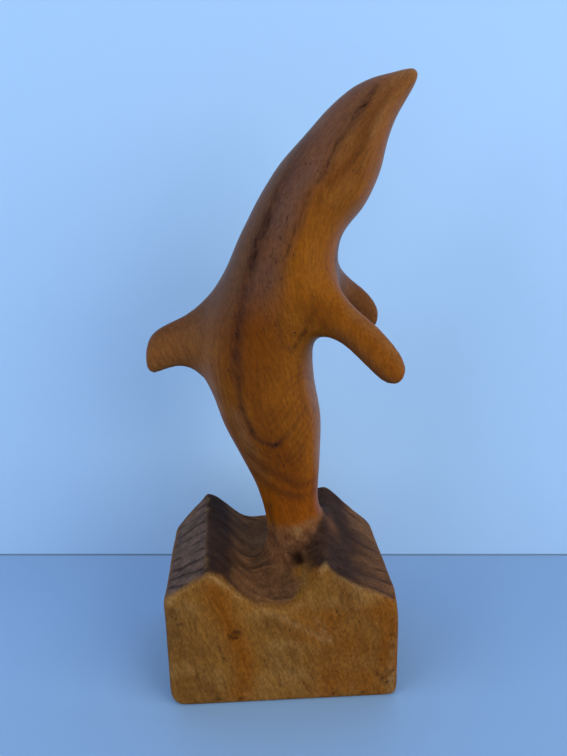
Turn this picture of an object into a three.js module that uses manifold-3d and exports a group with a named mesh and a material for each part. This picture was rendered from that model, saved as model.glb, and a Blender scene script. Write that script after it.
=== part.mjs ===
// A wooden dolphin, carved in one piece with the block of waves that it leaps from.
// Millimetres, +Z up. The origin is on the block's flat underside, in the middle of its
// driving width and depth. +X is the side that the belly faces, and -Y is the front.

import * as THREE from 'three';
import { mergeVertices } from 'three/addons/utils/BufferGeometryUtils.js';
import Module from 'manifold-3d';

// Driving dimensions of the block
const blockWidth = 114;
const blockDepth = 81;
const blockHeight = 81;
const leftLean = 2;
const rightFlare = 1.4;
const topEdgeEase = 2.6;
const cornerEase = 4;
const leftFootEase = 6;
const rightFootEase = 3;
const frontFootEase = 1.5;

// Driving dimensions of the dolphin
const dolphinRise = 245;
const dolphinStart = 57;
const dolphinBreadth = 52;
const dolphinTurn = THREE.MathUtils.degToRad(-9);

// Rounding where one form runs into another
const dorsalFillet = 20;
const flipperFillet = 24;
const footFillet = 16;

// How finely the dolphin is cut
const bodyRings = 60;
const bodySides = 34;
const finRings = 12;
const finSides = 20;
const fieldRibs = 48;

// How finely the block is cut: columns between the wave lines, rows from front to back, and
// levels. The lowest levels are shares of the left foot's rounding, the next ones of the
// block's height, and the top ones lie below the waves in millimetres.
const columnsBetween = [6, 9, 5, 10, 10];
const outerColumnShares = { left: 0.1, right: 0.945 };
const middleRows = 17;
const edgeOffsets = [0, 2, 5];
const footLevels = [0, 0.08, 0.4, 1];
const sideLevels = [0.17, 0.35];
const topOffsets = [12, 3.6, 1.2, 0];

// Under this share of the block's height, points move only sideways
const flatShare = 0.4;

// How the seams are evened out
const seamPasses = 24;
const passesPerSettling = 6;
const sliverSize = 0.02;

// The waves: lines that run from the front of the block to the back. Across is a share of
// half the block's width, height a share of the block's height.
const waves = {
  leftEdge: { across: [-1.03, -1.085], height: [0.722, 0.68] },
  leftCrest: { across: [-0.665, -0.735], height: [0.88, 0.967] },
  troughLeft: { across: [-0.2, -0.27], height: [0.655, 0.775] },
  troughRight: { across: [0.04, -0.14], height: [0.645, 0.78] },
  rightCrest: { across: [0.345, 0.525], height: [0.905, 1.0] },
  rightEdge: { across: [0.984, 1.012], height: [0.668, 0.69] },
};
const waveLines = Object.values(waves);
const leftSlopePower = [1.1, 1.0];
const rightSlopePower = [0.6, 0.9];
const rightCrestEase = 0.09;

// The body's ribs, from the foot of the tail to the beak. Each has a point on the back and
// one on the belly, as shares of the dolphin's rise, a half breadth as a share of half the
// dolphin's breadth, how square it is, and how much wider it is towards the belly.
const ribs = [
  { back: [-0.024, -0.06], belly: [0.083, -0.06], breadth: 0.6, square: 2.2, wide: 0 },
  { back: [-0.025, 0.063], belly: [0.083, 0.055], breadth: 0.5, square: 2.3, wide: 0 },
  { back: [-0.046, 0.163], belly: [0.082, 0.158], breadth: 0.55, square: 2.4, wide: 0.05 },
  { back: [-0.084, 0.245], belly: [0.085, 0.24], breadth: 0.7, square: 2.4, wide: 0.08 },
  { back: [-0.125, 0.33], belly: [0.086, 0.325], breadth: 0.84, square: 2.3, wide: 0.08 },
  { back: [-0.146, 0.43], belly: [0.0705, 0.415], breadth: 0.95, square: 2.2, wide: 0.05 },
  { back: [-0.137, 0.53], belly: [0.069, 0.5], breadth: 1.0, square: 2.15, wide: 0.04 },
  { back: [-0.114, 0.61], belly: [0.086, 0.57], breadth: 1.0, square: 2.1, wide: 0.05 },
  { back: [-0.0745, 0.706], belly: [0.106, 0.64], breadth: 0.98, square: 2.1, wide: 0.08 },
  { back: [-0.007, 0.82], belly: [0.126, 0.703], breadth: 0.92, square: 2.15, wide: 0.14 },
  { back: [0.048, 0.881], belly: [0.164, 0.752], breadth: 0.84, square: 2.2, wide: 0.2 },
  { back: [0.093, 0.9285], belly: [0.191, 0.811], breadth: 0.72, square: 2.25, wide: 0.24 },
  { back: [0.136, 0.9625], belly: [0.2045, 0.868], breadth: 0.56, square: 2.25, wide: 0.24 },
  { back: [0.173, 0.9785], belly: [0.22, 0.913], breadth: 0.4, square: 2.2, wide: 0.2 },
  { back: [0.204, 0.986], belly: [0.236, 0.941], breadth: 0.27, square: 2.15, wide: 0.14 },
  { back: [0.231, 0.9925], belly: [0.2485, 0.963], breadth: 0.165, square: 2.1, wide: 0.1 },
  { back: [0.246, 0.9935], belly: [0.2535, 0.977], breadth: 0.09, square: 2.0, wide: 0.05 },
];
const beakTip = [0.2545, 0, 0.9865];

// Fins, as shares of the dolphin's rise: the middle of the root, bend and tip, the
// direction of the chord, and half sizes at root and tip.
const dorsalFin = {
  root: [-0.09, 0, 0.488],
  bend: [-0.188, 0, 0.5065],
  tip: [-0.284, 0, 0.448],
  chord: [-0.03, 0, -1],
  halfChord: [0.104, 0.046],
  halfThickness: [0.034, 0.021],
  narrowing: 2.6,
  blunt: 24,
};
const finShape = {
  chord: [0.74, 0, 0.67],
  halfChord: [0.036, 0.0325],
  halfThickness: [0.034, 0.018],
  narrowing: 2,
  blunt: 10,
};
const nearFlipper = {
  ...finShape,
  root: [0.046, -0.04, 0.584],
  bend: [0.165, -0.098, 0.529],
  tip: [0.2325, -0.137, 0.4355],
};
const farFlipper = {
  ...finShape,
  root: [0.04, 0.045, 0.606],
  bend: [0.162, 0.115, 0.59],
  tip: [0.1965, 0.15, 0.4965],
};

// Small helpers

const mix = (pair, share) => pair[0] + (pair[1] - pair[0]) * share;

const clamp = THREE.MathUtils.clamp;

// The smaller of two distances, rounded over where they are nearly equal.
function smoothMin(a, b, reach) {
  const near = Math.max(reach - Math.abs(a - b), 0) / reach;
  return Math.min(a, b) - near * near * reach / 4;
}

const smoothMax = (a, b, reach) => -smoothMin(-a, -b, reach);

// The block with its waves

function waveLine(index, depthShare) {
  const line = waveLines[index];
  return {
    x: mix(line.across, depthShare) * blockWidth / 2,
    z: mix(line.height, depthShare) * blockHeight,
  };
}

const depthShareAt = (y) => clamp((y + blockDepth / 2) / blockDepth, 0, 1);

// How the height runs from one wave line to the next, as a share. The left crest is crisp
// and the right one rolls over.
function waveRun(stretch, share, depthShare) {
  if (stretch === 0) {
    return Math.pow(share, mix(leftSlopePower, depthShare));
  }
  if (stretch === waveLines.length - 2) {
    const rolled = Math.hypot(share, rightCrestEase) - rightCrestEase;
    const whole = Math.hypot(1, rightCrestEase) - rightCrestEase;
    return Math.pow(rolled / whole, mix(rightSlopePower, depthShare));
  }
  return (1 - Math.cos(Math.PI * share)) / 2;
}

function waveHeight(x, y) {
  const depthShare = depthShareAt(y);
  const last = waveLines.length - 2;
  let stretch = 0;
  while (stretch < last && x > waveLine(stretch + 1, depthShare).x) {
    stretch += 1;
  }
  const from = waveLine(stretch, depthShare);
  const to = waveLine(stretch + 1, depthShare);
  const share = clamp((x - from.x) / (to.x - from.x), 0, 1);
  return from.z + (to.z - from.z) * waveRun(stretch, share, depthShare);
}

// How far the foot of a side is drawn in, by a quarter round.
function footInset(z, ease) {
  const up = clamp(z, 0, ease);
  return ease - Math.sqrt(ease * ease - (ease - up) ** 2);
}

// Towards the foot the left side leans in and the right side flares out.
function blockSides(z, depthShare) {
  const down = 1 - clamp(z / blockHeight, 0, 1);
  const left = waveLine(0, depthShare).x + leftLean * down;
  const right = waveLine(waveLines.length - 1, depthShare).x + rightFlare * down;
  return {
    left: left + footInset(z, leftFootEase),
    right: right - footInset(z, rightFootEase),
    front: -blockDepth / 2 + footInset(z, frontFootEase),
  };
}

// Distance to the block's skin. The height over the waves is scaled down to a distance,
// because the waves slope.
const slopeShare = 0.85;

function blockField(point) {
  const { x, y, z } = point;
  const { left, right, front } = blockSides(z, depthShareAt(y));
  const sides = smoothMax(Math.max(left - x, x - right), Math.abs(y) + front, cornerEase);
  return smoothMax(sides, (z - waveHeight(x, y)) * slopeShare, topEdgeEase);
}

// Places of the rows from front to back: they crowd towards both ends.
function rowPlaces() {
  const inner = edgeOffsets[edgeOffsets.length - 1];
  const rows = edgeOffsets.slice(0, -1);
  for (let i = 0; i <= middleRows; i += 1) {
    rows.push(inner + (blockDepth - 2 * inner) * i / middleRows);
  }
  edgeOffsets.slice(0, -1).reverse().forEach((offset) => rows.push(blockDepth - offset));
  return rows.map((row) => row - blockDepth / 2);
}

// Places of the columns from left to right: a stretch between two wave lines and a share
// of it. One more column stands close to each outer edge.
function columnPlaces() {
  const last = columnsBetween.length - 1;
  const columns = [];
  columnsBetween.forEach((count, stretch) => {
    for (let i = 0; i < count; i += 1) {
      columns.push({ stretch, share: i / count });
    }
  });
  return [
    columns[0],
    { stretch: 0, share: outerColumnShares.left },
    ...columns.slice(1),
    { stretch: last, share: outerColumnShares.right },
    { stretch: last, share: 1 },
  ];
}

// Where a column meets a row, before the sides are drawn in.
function columnX({ stretch, share }, depthShare) {
  const from = waveLine(stretch, depthShare).x;
  const to = waveLine(stretch + 1, depthShare).x;
  return THREE.MathUtils.lerp(from, to, share);
}

function blockGeometry() {
  const rows = rowPlaces();
  const columns = columnPlaces();
  const levels = [
    ...footLevels.map((share) => share * leftFootEase),
    ...sideLevels.map((share) => share * blockHeight),
  ];
  const steps = [columns.length - 1, rows.length - 1, levels.length + topOffsets.length - 1];
  const box = new THREE.BoxGeometry(1, 1, 1, ...steps);
  const place = box.attributes.position;
  for (let n = 0; n < place.count; n += 1) {
    const column = columns[Math.round((place.getX(n) + 0.5) * steps[0])];
    const y = rows[Math.round((place.getY(n) + 0.5) * steps[1])];
    const level = Math.round((place.getZ(n) + 0.5) * steps[2]);
    const depthShare = depthShareAt(y);
    const x = columnX(column, depthShare);
    const low = level < levels.length;
    const z = low ? levels[level] : waveHeight(x, y) - topOffsets[level - levels.length];
    const sides = blockSides(z, depthShare);
    const drawnX = x < 0
      ? x * sides.left / waveLine(0, depthShare).x
      : x * sides.right / waveLine(waveLines.length - 1, depthShare).x;
    const drawnY = y * sides.front / (-blockDepth / 2);
    place.setXYZ(n, drawnX, drawnY, z);
  }
  return box;
}

// Limbs: forms strung on a row of ribs. A rib has a middle, two directions across, half
// sizes along them, a squareness and a widening.

function railCurve(points) {
  const places = points.map(([x, z]) => new THREE.Vector3(x * dolphinRise, 0, z * dolphinRise));
  return new THREE.CatmullRomCurve3(places, false, 'centripetal');
}

const backRail = railCurve(ribs.map((rib) => rib.back));
const bellyRail = railCurve(ribs.map((rib) => rib.belly));
const girth = new THREE.CatmullRomCurve3(
  ribs.map((rib) => new THREE.Vector3(rib.breadth, rib.square, rib.wide)),
  false,
  'catmullrom',
);

function bodyRib(t) {
  const back = backRail.getPoint(t);
  const belly = bellyRail.getPoint(t);
  const across = belly.clone().sub(back);
  const halfDepth = across.length() / 2;
  const [breadth, square, wide] = girth.getPoint(t).toArray();
  return {
    middle: back.clone().add(belly).multiplyScalar(0.5),
    chord: across.normalize(),
    side: new THREE.Vector3(0, 1, 0),
    halfChord: halfDepth,
    halfThickness: breadth * dolphinBreadth / 2,
    square,
    wide,
  };
}

function finRib(fin, t) {
  const root = new THREE.Vector3(...fin.root).multiplyScalar(dolphinRise);
  const bend = new THREE.Vector3(...fin.bend).multiplyScalar(dolphinRise);
  const tip = new THREE.Vector3(...fin.tip).multiplyScalar(dolphinRise);
  const middle = root.clone().multiplyScalar((1 - t) * (1 - t));
  middle.addScaledVector(bend, 2 * t * (1 - t)).addScaledVector(tip, t * t);
  const chord = new THREE.Vector3(...fin.chord).normalize();
  const along = tip.clone().sub(root).normalize();
  const side = along.clone().cross(chord).normalize();
  const ending = Math.sqrt(1 - Math.pow(t, fin.blunt));
  const narrowed = 1 - Math.pow(1 - t, fin.narrowing);
  return {
    middle,
    chord,
    side,
    halfChord: mix(fin.halfChord, narrowed) * dolphinRise * ending,
    halfThickness: mix(fin.halfThickness, narrowed) * dolphinRise * ending,
    square: 2,
    wide: 0,
  };
}

function ribPoint(rib, turn) {
  const power = 2 / rib.square;
  const c = Math.cos(turn);
  const s = Math.sin(turn);
  const alongChord = Math.sign(c) * Math.pow(Math.abs(c), power);
  const alongSide = Math.sign(s) * Math.pow(Math.abs(s), power) * (1 + rib.wide * alongChord);
  const point = rib.middle.clone();
  point.addScaledVector(rib.chord, rib.halfChord * alongChord);
  return point.addScaledVector(rib.side, rib.halfThickness * alongSide);
}

// A closed skin over the ribs, with a middle point in the first rib and a point at the tip.
function limbGeometry(ribAt, rings, sides, tip) {
  const points = [ribAt(0).middle];
  for (let i = 0; i < rings; i += 1) {
    const rib = ribAt(i / (rings - 1));
    for (let j = 0; j < sides; j += 1) {
      points.push(ribPoint(rib, 2 * Math.PI * j / sides));
    }
  }
  points.push(tip);
  const at = (i, j) => 1 + i * sides + (j % sides);
  const faces = [];
  for (let j = 0; j < sides; j += 1) {
    faces.push(0, at(0, j + 1), at(0, j));
    for (let i = 0; i + 1 < rings; i += 1) {
      faces.push(at(i, j), at(i, j + 1), at(i + 1, j + 1));
      faces.push(at(i, j), at(i + 1, j + 1), at(i + 1, j));
    }
    faces.push(at(rings - 1, j), at(rings - 1, j + 1), points.length - 1);
  }
  const geometry = new THREE.BufferGeometry().setFromPoints(points);
  geometry.setIndex(faces);
  return geometry;
}

// Distance to a limb's skin, measured in the plane of the rib through the point.
function ribDistance(rib, point) {
  const offset = point.clone().sub(rib.middle);
  const alongChord = offset.dot(rib.chord);
  const alongSide = offset.dot(rib.side);
  const widened = Math.max(1 + rib.wide * clamp(alongChord / rib.halfChord, -1, 1), 0.2);
  const u = Math.abs(alongChord / rib.halfChord);
  const v = Math.abs(alongSide / (rib.halfThickness * widened));
  const reach = Math.pow(u ** rib.square + v ** rib.square, 1 / rib.square);
  const length = Math.hypot(alongChord, alongSide);
  return reach < 1e-6 ? -rib.halfThickness : length * (1 - 1 / reach);
}

// Distance to a limb: between the two ribs that the point lies between, or past its ends.
function limbField(ribList, point) {
  const gaps = ribList.map((rib) => {
    const along = rib.chord.clone().cross(rib.side);
    return point.clone().sub(rib.middle).dot(along);
  });
  let nearest = Infinity;
  for (let i = 0; i + 1 < ribList.length; i += 1) {
    if (gaps[i] >= 0 && gaps[i + 1] < 0) {
      const share = gaps[i] / (gaps[i] - gaps[i + 1]);
      const low = ribDistance(ribList[i], point);
      const high = ribDistance(ribList[i + 1], point);
      nearest = Math.min(nearest, low + (high - low) * share);
    }
  }
  if (nearest < Infinity) {
    return nearest;
  }
  const past = gaps[0] < 0 ? 0 : ribList.length - 1;
  return Math.hypot(ribDistance(ribList[past], point), gaps[past]);
}

function ribRow(ribAt, count) {
  const row = [];
  for (let i = 0; i <= count; i += 1) {
    row.push(ribAt(i / count));
  }
  return row;
}

// Turning and placing the dolphin on the block
const upright = new THREE.Matrix4().makeRotationZ(dolphinTurn);
upright.setPosition(0, 0, dolphinStart);
const unplaced = upright.clone().invert();

// Fin ribs crowd towards the tip, where the outline turns fastest.
const finEndShare = 0.998;
const towardsTip = (fin) => (share) => finRib(fin, finEndShare * Math.sin(share * Math.PI / 2));
const fins = [
  { fin: dorsalFin, fillet: dorsalFillet },
  { fin: nearFlipper, fillet: flipperFillet },
  { fin: farFlipper, fillet: flipperFillet },
];
const limbs = [
  { rib: bodyRib, rings: bodyRings, sides: bodySides, tip: beakTip, fillet: 0 },
  ...fins.map(({ fin, fillet }) => (
    { rib: towardsTip(fin), rings: finRings, sides: finSides, tip: fin.tip, fillet }
  )),
];

for (const limb of limbs) {
  const tip = new THREE.Vector3(...limb.tip).multiplyScalar(dolphinRise);
  limb.row = ribRow(limb.rib, fieldRibs);
  limb.geometry = limbGeometry(limb.rib, limb.rings, limb.sides, tip);
  limb.geometry.applyMatrix4(upright);
}

// The whole carving as one form. The rounded distance and the plain one differ near a seam.
function carvingField(point) {
  const inDolphin = point.clone().applyMatrix4(unplaced);
  let rounded = limbField(limbs[0].row, inDolphin);
  let plain = rounded;
  for (const limb of limbs.slice(1)) {
    const distance = limbField(limb.row, inDolphin);
    rounded = smoothMin(rounded, distance, limb.fillet);
    plain = Math.min(plain, distance);
  }
  const block = blockField(point);
  rounded = smoothMin(rounded, block, footFillet);
  plain = Math.min(plain, block);
  return { rounded, plain };
}

// Moves a point onto the surface where a field is nothing. Flat keeps its height.
const probe = 0.05;
const leastSteepness = 0.04;
const longestMove = 4;

function settle(point, field, flat) {
  for (let turn = 0; turn < 6; turn += 1) {
    const slope = new THREE.Vector3();
    for (const axis of flat ? ['x', 'y'] : ['x', 'y', 'z']) {
      const ahead = point.clone();
      ahead[axis] += probe;
      const behind = point.clone();
      behind[axis] -= probe;
      slope[axis] = (field(ahead) - field(behind)) / (2 * probe);
    }
    const steepness = Math.max(slope.lengthSq(), leastSteepness);
    const move = clamp(field(point) / steepness, -longestMove, longestMove);
    point.addScaledVector(slope, -move);
  }
  return point;
}

// The block's points on its skin. Those in the middle of the underside stay where they are.
const skinDepth = 0.6;

function settledBlock() {
  const geometry = blockGeometry();
  const place = geometry.attributes.position;
  const point = new THREE.Vector3();
  for (let n = 0; n < place.count; n += 1) {
    point.fromBufferAttribute(place, n);
    const low = point.z < blockHeight * flatShare;
    if (!low || blockField(point) > -skinDepth) {
      settle(point, blockField, low);
    }
    place.setXYZ(n, point.x, point.y, point.z);
  }
  return geometry;
}

// Joining

const wasm = await Module();
wasm.setup();

function solidOf(geometry) {
  const bare = geometry.clone();
  bare.deleteAttribute('normal');
  bare.deleteAttribute('uv');
  const merged = mergeVertices(bare, 1e-4);
  return new wasm.Manifold(new wasm.Mesh({
    numProp: 3,
    vertProperties: new Float32Array(merged.attributes.position.array),
    triVerts: new Uint32Array(merged.index.array),
  }));
}

function joinedCarving() {
  let whole = solidOf(settledBlock());
  for (const limb of limbs) {
    whole = whole.add(solidOf(limb.geometry));
  }
  const mesh = whole.simplify(sliverSize).getMesh();
  const points = [];
  for (let n = 0; n < mesh.numVert; n += 1) {
    points.push(new THREE.Vector3().fromArray(mesh.vertProperties, n * mesh.numProp));
  }
  return { points, faces: Array.from(mesh.triVerts) };
}

// Rounds the seams: points near a seam are evened out among their neighbours and moved
// onto the rounded form.
const seamGap = 0.05;

function neighboursOf({ points, faces }) {
  const neighbours = points.map(() => new Set());
  for (let n = 0; n < faces.length; n += 3) {
    for (let corner = 0; corner < 3; corner += 1) {
      neighbours[faces[n + corner]].add(faces[n + (corner + 1) % 3]);
      neighbours[faces[n + corner]].add(faces[n + (corner + 2) % 3]);
    }
  }
  return neighbours;
}

function isNearSeam(point) {
  const { rounded, plain } = carvingField(point);
  return point.z > blockHeight * flatShare && plain - rounded > seamGap;
}

function roundSeams(skin) {
  const { points } = skin;
  const neighbours = neighboursOf(skin);
  const near = [...points.keys()].filter((n) => isNearSeam(points[n]));
  for (let pass = 1; pass <= seamPasses; pass += 1) {
    for (const n of near) {
      const middle = new THREE.Vector3();
      neighbours[n].forEach((other) => middle.add(points[other]));
      points[n].lerp(middle.divideScalar(neighbours[n].size), 0.5);
    }
    if (pass % passesPerSettling === 0) {
      near.forEach((n) => settle(points[n], (point) => carvingField(point).rounded, false));
    }
  }
  return skin;
}

const { points, faces } = roundSeams(joinedCarving());
const carvingGeometry = new THREE.BufferGeometry().setFromPoints(points);
carvingGeometry.setIndex(faces);
carvingGeometry.computeVertexNormals();

const oiledWood = new THREE.MeshStandardMaterial({
  color: 0x9a5a22,
  roughness: 0.42,
  metalness: 0,
});

const dolphinCarving = new THREE.Mesh(carvingGeometry, oiledWood);
dolphinCarving.name = 'dolphin_carving';

const carving = new THREE.Group();
carving.add(dolphinCarving);

export default carving;
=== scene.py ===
from math import radians

import bpy
import numpy as np
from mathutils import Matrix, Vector, noise


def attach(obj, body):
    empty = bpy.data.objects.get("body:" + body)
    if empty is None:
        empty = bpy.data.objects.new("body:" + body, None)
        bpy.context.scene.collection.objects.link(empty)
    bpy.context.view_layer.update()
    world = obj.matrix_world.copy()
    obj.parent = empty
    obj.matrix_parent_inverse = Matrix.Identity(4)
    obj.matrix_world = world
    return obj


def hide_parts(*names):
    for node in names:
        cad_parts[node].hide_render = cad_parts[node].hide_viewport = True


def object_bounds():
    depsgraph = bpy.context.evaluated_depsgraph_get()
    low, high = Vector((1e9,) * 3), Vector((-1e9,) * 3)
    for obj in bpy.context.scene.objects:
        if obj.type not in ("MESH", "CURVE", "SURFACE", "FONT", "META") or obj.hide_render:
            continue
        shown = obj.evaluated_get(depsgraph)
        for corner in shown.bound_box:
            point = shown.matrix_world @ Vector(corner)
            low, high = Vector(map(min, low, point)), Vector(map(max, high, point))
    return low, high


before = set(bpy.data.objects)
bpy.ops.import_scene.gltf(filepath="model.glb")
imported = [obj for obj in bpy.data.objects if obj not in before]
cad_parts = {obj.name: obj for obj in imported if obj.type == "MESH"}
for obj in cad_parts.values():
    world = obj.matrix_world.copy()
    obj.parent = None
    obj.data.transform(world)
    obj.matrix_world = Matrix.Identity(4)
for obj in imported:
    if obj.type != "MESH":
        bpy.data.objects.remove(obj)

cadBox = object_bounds()
print("frame loaded")


def deselectAll():
    for thing in bpy.context.selected_objects:
        thing.select_set(False)


def makeActive(thing):
    deselectAll()
    thing.select_set(True)
    bpy.context.view_layer.objects.active = thing


# the camera stands where the photo was taken from
photoView = {
    "place": (-0.017, -0.2835, 0.219),  # metres
    "pitchDown": 12.3,  # degrees
    "turnRight": 3.8,
    "lens": 27.05,  # mm on a 36 mm long side
}

deselectAll()
bpy.ops.object.camera_add(
    location=photoView["place"],
    rotation=(radians(90 - photoView["pitchDown"]), 0, radians(-photoView["turnRight"])),
)
camera = bpy.context.object
camera.name = "photo_camera"
camera.data.lens = photoView["lens"]
camera.data.sensor_width = 36
camera.data.clip_start = 0.01
bpy.context.scene.camera = camera

stage = {
    "floorSize": 6.0,
    "wallDistance": 0.102,  # behind the middle of the block
    "shadowLineHeight": 0.0013,  # painted shadow line where the table meets the wall
    "floorColour": (0.195, 0.33, 0.56, 1),
    "wallColour": (0.300, 0.485, 0.75, 1),
    # colour of the painted shadow line
    "shadowLineColour": (0.12, 0.20, 0.32, 1),
    "roomColour": (0.85, 0.93, 1.0, 1),
    "roomStrength": 0.05,
}


def plainMaterial(name, colour, roughness):
    material = bpy.data.materials.new(name)
    material.use_nodes = True
    shader = material.node_tree.nodes["Principled BSDF"]
    shader.inputs["Base Color"].default_value = colour
    shader.inputs["Roughness"].default_value = roughness
    shader.inputs["Specular IOR Level"].default_value = 0.25
    return material


def seenFromFront(material):
    # see-through from behind, so that the backdrop never hides the carving
    tree = material.node_tree
    facing = tree.nodes.new("ShaderNodeNewGeometry")
    clear = tree.nodes.new("ShaderNodeBsdfTransparent")
    choose = tree.nodes.new("ShaderNodeMixShader")
    tree.links.new(facing.outputs["Backfacing"], choose.inputs[0])
    tree.links.new(tree.nodes["Principled BSDF"].outputs[0], choose.inputs[1])
    tree.links.new(clear.outputs[0], choose.inputs[2])
    tree.links.new(choose.outputs[0], tree.nodes["Material Output"].inputs["Surface"])


def addUpright(name, height, forward, material, mirrored):
    deselectAll()
    bpy.ops.mesh.primitive_plane_add(size=1)
    thing = bpy.context.object
    thing.name = name
    thing.dimensions = (stage["floorSize"], height, 0)
    thing.rotation_euler = (radians(90), 0, radians(-photoView["turnRight"]))
    thing.location = (0, stage["wallDistance"] - forward, height / 2)
    thing.data.materials.append(material)
    thing.visible_shadow = False
    thing.visible_glossy = mirrored
    seenFromFront(material)


deselectAll()
bpy.ops.mesh.primitive_plane_add(size=stage["floorSize"], location=(0, 0, 0))
floor = bpy.context.object
floor.name = "floor"
floor.data.materials.append(plainMaterial("pale_floor", stage["floorColour"], 0.5))
floor.visible_glossy = False
addUpright("backdrop", 3.0, 0, plainMaterial("pale_wall", stage["wallColour"], 0.8), True)
# a thin dark strip: painted shadow where the table meets the wall
shadowLineMaterial = plainMaterial("painted_shadow_line", stage["shadowLineColour"], 0.9)
addUpright("painted_shadow_strip", stage["shadowLineHeight"], 0.001, shadowLineMaterial, False)

lights = {
    "right": {"place": (0.95, -0.85, 0.5), "size": 1.2, "power": 23.0, "colour": (1.0, 0.95, 0.86)},
    "left": {"place": (-1.05, -0.45, 0.55), "size": 1.0, "power": 12.0, "colour": (0.92, 0.96, 1.0)},
    "top": {"place": (0.0, -0.1, 1.3), "size": 1.2, "power": 4.5, "colour": (0.95, 0.98, 1.0)},
    "front": {"place": (-0.2, -1.3, 0.3), "size": 1.0, "power": 3.0, "colour": (1.0, 0.98, 0.95)},
    "back": {"place": (0.2, 1.3, 0.5), "size": 1.2, "power": 7.0, "colour": (1.0, 0.98, 0.94)},
}
aimPoint = Vector((0.0, 0.0, 0.14))

for name, light in lights.items():
    deselectAll()
    bpy.ops.object.light_add(type="AREA", location=light["place"])
    lamp = bpy.context.object
    lamp.name = name + "_light"
    lamp.data.size = light["size"]
    lamp.data.energy = light["power"]
    lamp.data.color = light["colour"]
    lamp.visible_glossy = False
    towards = aimPoint - Vector(light["place"])
    lamp.rotation_euler = towards.to_track_quat("-Z", "Y").to_euler()

world = bpy.data.worlds.new("soft_room")
bpy.context.scene.world = world
world.use_nodes = True
background = world.node_tree.nodes["Background"]
background.inputs["Color"].default_value = stage["roomColour"]
background.inputs["Strength"].default_value = stage["roomStrength"]
bpy.context.scene.view_settings.view_transform = "Standard"
print("camera, stage and light made")

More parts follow.
